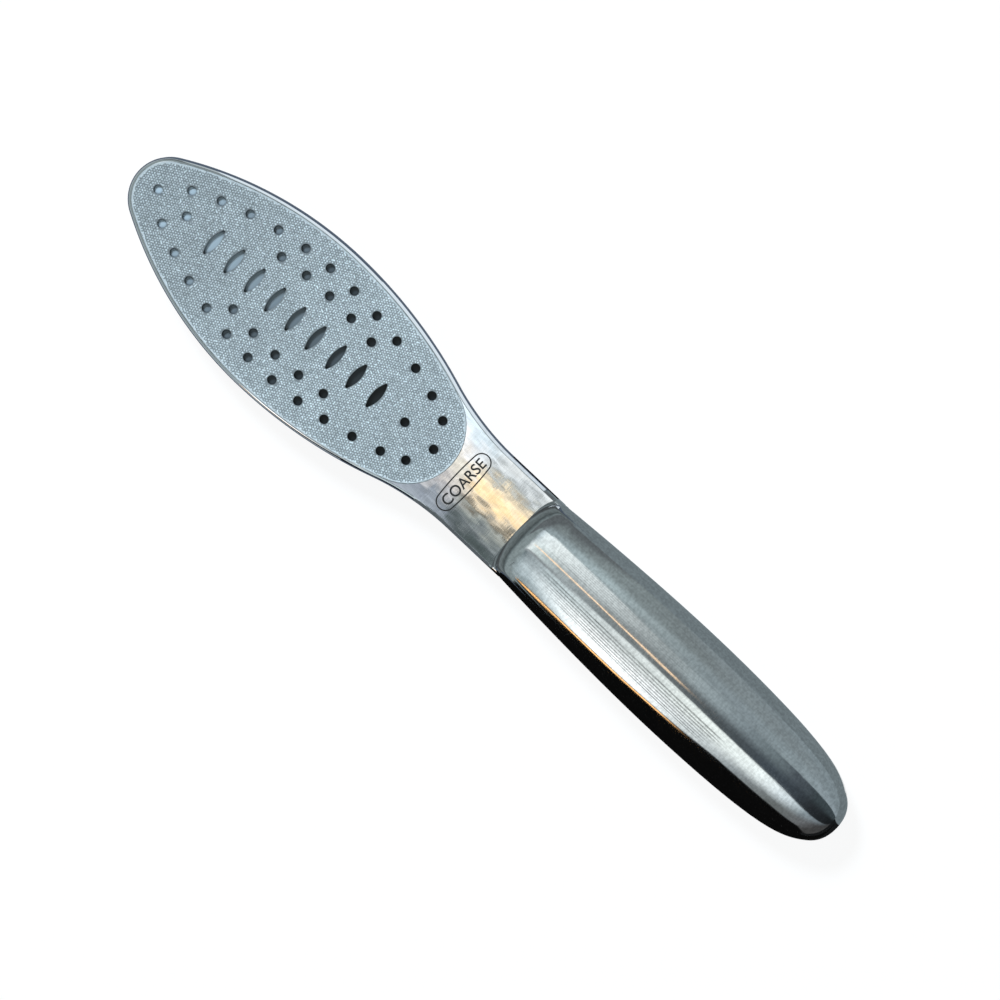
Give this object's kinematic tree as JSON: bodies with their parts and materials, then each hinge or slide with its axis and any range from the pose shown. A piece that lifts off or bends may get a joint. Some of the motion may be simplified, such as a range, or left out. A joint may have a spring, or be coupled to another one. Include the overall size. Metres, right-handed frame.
{
  "type": "two-sided foot file",
  "caption": "Flat steel foot file: leaf-shaped head with a perforated abrasive plate on each face, crowned neck and round hollow handle.",
  "frame": {"origin": "under the middle of the object, at the height of the handle's lowest line", "axes": "+X along the object from the head's tip to the handle's butt, +Y across its width, +Z out of the coarse face"},
  "size_m": [0.25, 0.0466, 0.0184],
  "materials": {
    "polished_steel": "hand-polished stainless steel with faint waves",
    "brushed_steel": "stainless steel, brushed lengthwise",
    "coarse_abrasive": "matte steel covered with close coarse teeth",
    "fine_abrasive": "matte steel covered with close fine teeth",
    "bond_film": "thin clear adhesive film",
    "cement": "hard resin filling"
  },
  "bodies": {
    "root": {"head_blank": "polished_steel", "coarse_plate": "coarse_abrasive", "fine_plate": "fine_abrasive", "coarse_bond_film": "bond_film", "fine_bond_film": "bond_film", "handle_front_shell": "brushed_steel", "handle_back_shell": "brushed_steel", "tang_cement": "cement"}
  },
  "joints": []
}
